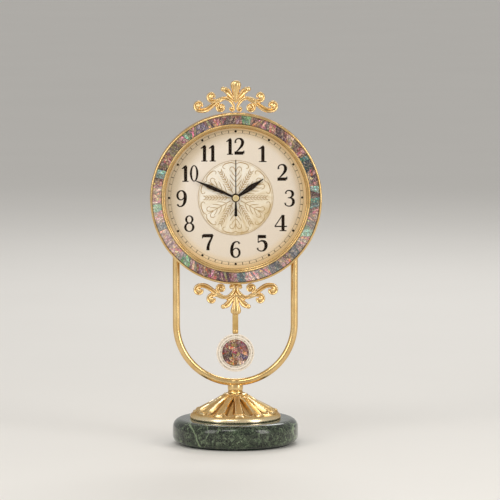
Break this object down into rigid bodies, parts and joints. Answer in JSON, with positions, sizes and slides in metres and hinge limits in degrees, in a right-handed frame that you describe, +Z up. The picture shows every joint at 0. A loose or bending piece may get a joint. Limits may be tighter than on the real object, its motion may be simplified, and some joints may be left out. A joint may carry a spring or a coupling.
{
  "type": "table clock",
  "caption": "Pendulum table clock: round dial head with shell inlay and scroll ornaments on a U-shaped gold tube, fluted foot and green marble base.",
  "frame": {"origin": "centre of the felt underside, where the clock stands on the table", "axes": "+Z up, the dial faces -Y, +X is to the right of someone who looks at the dial"},
  "size_m": [0.201, 0.148, 0.4297],
  "materials": {
    "satin_gold": "satin gold plating",
    "polished_brass": "brushed",
    "steel": "brushed",
    "black_enamel": "semi-gloss",
    "black_plastic": "matte",
    "white_plastic": "matte",
    "green_marble": "polished, veined",
    "abalone": "lacquered shell tiles",
    "silver_stones": "two rows of tiny set stones",
    "mother_of_pearl": "lustrous shell",
    "ivory_dial": "matte print",
    "clear_glass": "clear",
    "dark_felt": "felt",
    "copper_wire": "enamelled wire",
    "board_green": "matte",
    "battery_grey": "gloss"
  },
  "bodies": {
    "stand_and_head": {"felt_pad": "dark_felt", "marble_base": "green_marble", "tie_washer": "steel", "tie_bolt": "steel", "fluted_foot": "satin_gold", "collar": "satin_gold", "u_frame": "satin_gold", "case_shell": "satin_gold", "leg_screw_left": "steel", "leg_screw_right": "steel", "back_cover": "satin_gold", "back_screw_1": "steel", "back_screw_2": "steel", "back_screw_3": "steel", "back_screw_4": "steel", "bezel_rim": "satin_gold", "shell_inlay": "abalone", "inner_ring": "satin_gold", "glass_lens": "clear_glass", "dial_spacer": "ivory_dial", "dial_plate": "ivory_dial", "pearl_disc": "mother_of_pearl", "crown_ornament": "satin_gold", "lower_ornament": "satin_gold", "movement_front": "black_plastic", "movement_back": "black_plastic", "train_plate": "white_plastic", "bushing_nut": "polished_brass", "stator": "steel", "motor_coil": "copper_wire", "circuit_board": "board_green", "battery": "battery_grey", "battery_spring": "steel", "battery_contact": "steel", "pendulum_housing": "black_plastic", "pivot_pin": "steel", "drive_coil": "copper_wire"},
    "minute": {"minute_hand": "black_enamel", "cannon_pinion": "polished_brass"},
    "hour": {"hour_hand": "black_enamel", "hour_wheel": "white_plastic"},
    "second": {"second_hand": "black_enamel", "hub_cap": "satin_gold", "seconds_wheel": "polished_brass"},
    "minute_wheel": {"minute_wheel": "polished_brass"},
    "setting": {"setting_shaft": "polished_brass", "setting_knob": "white_plastic"},
    "reduction": {"reduction_wheel": "white_plastic"},
    "rotor": {"rotor": "steel"},
    "pendulum": {"pendulum_hanger": "white_plastic", "pendulum_magnet": "steel", "pendulum_rod": "polished_brass", "bob_back": "polished_brass", "bob_ring": "silver_stones", "bob_inlay": "abalone", "bob_rivet": "steel"}
  },
  "joints": [
    {"name": "minute_spin", "type": "hinge", "parent": "stand_and_head", "child": "minute", "pos_m": [0, 0, 0.2919], "axis": [0, 1, 0], "continuous": true},
    {"name": "hour_spin", "type": "hinge", "parent": "stand_and_head", "child": "hour", "pos_m": [0, 0, 0.2919], "axis": [0, 1, 0], "continuous": true},
    {"name": "second_spin", "type": "hinge", "parent": "stand_and_head", "child": "second", "pos_m": [0, 0, 0.2919], "axis": [0, 1, 0], "continuous": true},
    {"name": "minute_wheel_spin", "type": "hinge", "parent": "stand_and_head", "child": "minute_wheel", "pos_m": [0, 0, 0.3039], "axis": [0, 1, 0], "continuous": true},
    {"name": "setting_spin", "type": "hinge", "parent": "stand_and_head", "child": "setting", "pos_m": [0.01039, 0, 0.3099], "axis": [0, 1, 0], "continuous": true},
    {"name": "reduction_spin", "type": "hinge", "parent": "stand_and_head", "child": "reduction", "pos_m": [-0.00789, 0, 0.29477], "axis": [0, 1, 0], "continuous": true},
    {"name": "rotor_spin", "type": "hinge", "parent": "stand_and_head", "child": "rotor", "pos_m": [-0.01466, 0, 0.29231], "axis": [0, 1, 0], "continuous": true},
    {"name": "pendulum_swing", "type": "hinge", "parent": "stand_and_head", "child": "pendulum", "pos_m": [0, 0, 0.2539], "axis": [0, 1, 0], "range_deg": [-9, 9]}
  ],
  "couplings": [
    {"joint": "hour_spin", "follows": "minute_spin", "ratio": 0.083333},
    {"joint": "minute_wheel_spin", "follows": "minute_spin", "ratio": -0.33333},
    {"joint": "setting_spin", "follows": "minute_spin", "ratio": 1},
    {"joint": "reduction_spin", "follows": "second_spin", "ratio": -6},
    {"joint": "rotor_spin", "follows": "second_spin", "ratio": 30}
  ]
}
